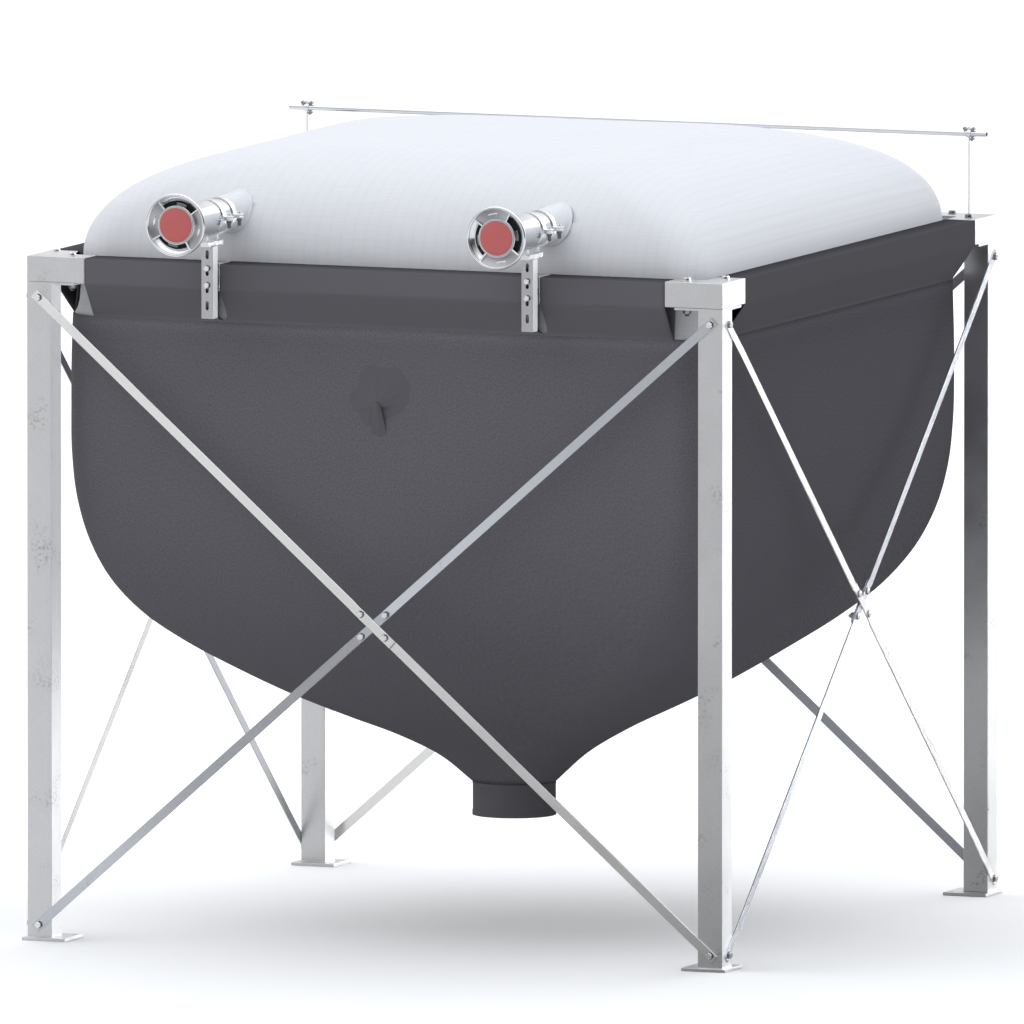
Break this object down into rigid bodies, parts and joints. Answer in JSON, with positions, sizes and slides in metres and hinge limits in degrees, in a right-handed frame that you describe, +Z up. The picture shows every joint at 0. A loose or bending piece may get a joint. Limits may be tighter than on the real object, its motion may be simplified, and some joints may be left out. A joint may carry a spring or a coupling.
{
  "type": "pellet silo",
  "caption": "Square fabric pellet silo with a domed cover, hung in a braced galvanised frame, with capped filling pipes and a round outlet below.",
  "frame": {"origin": "on the ground, at the middle of the silo's footprint, filling pipes included", "axes": "-Y is the front with the filling pipes, +X is to the right seen from the front, +Z is up"},
  "size_m": [2.028, 2.282, 2.1153],
  "materials": {
    "galvanised_steel": "hot-dip galvanised, mottled and matt",
    "dark_fabric": "fine dark grey coated weave",
    "white_fabric": "white weave with fine stripes",
    "stainless_steel": "polished",
    "red_plastic": "smooth matt red"
  },
  "bodies": {
    "root": {"leg_front_left": "galvanised_steel", "leg_front_right": "galvanised_steel", "leg_back_right": "galvanised_steel", "leg_back_left": "galvanised_steel", "corner_bracket_front_left": "galvanised_steel", "corner_bracket_front_right": "galvanised_steel", "corner_bracket_back_right": "galvanised_steel", "corner_bracket_back_left": "galvanised_steel", "rim_tube_front": "galvanised_steel", "rim_tube_right": "galvanised_steel", "rim_tube_back": "galvanised_steel", "rim_tube_left": "galvanised_steel", "brace_front_outer": "galvanised_steel", "brace_front_inner": "galvanised_steel", "brace_right_outer": "galvanised_steel", "brace_right_inner": "galvanised_steel", "brace_back_outer": "galvanised_steel", "brace_back_inner": "galvanised_steel", "brace_left_outer": "galvanised_steel", "brace_left_inner": "galvanised_steel", "hopper_front": "dark_fabric", "hopper_right": "dark_fabric", "hopper_back": "dark_fabric", "hopper_left": "dark_fabric", "hem_front": "dark_fabric", "hem_right": "dark_fabric", "hem_back": "dark_fabric", "hem_left": "dark_fabric", "outlet_sleeve": "dark_fabric", "inspection_sleeve": "dark_fabric", "cover_front_left": "white_fabric", "cover_front_right": "white_fabric", "cover_back_right": "white_fabric", "cover_back_left": "white_fabric", "pipe_sleeve_left": "white_fabric", "pipe_sleeve_right": "white_fabric", "fill_pipe_left": "stainless_steel", "fill_pipe_right": "stainless_steel", "coupling_left": "stainless_steel", "coupling_right": "stainless_steel", "fill_cap_left": "red_plastic", "fill_cap_right": "red_plastic", "pipe_support_left": "galvanised_steel", "pipe_support_right": "galvanised_steel", "pipe_clamp_left": "galvanised_steel", "pipe_clamp_right": "galvanised_steel", "top_bar": "stainless_steel", "bar_post_left": "stainless_steel", "bar_post_right": "stainless_steel"}
  },
  "joints": []
}
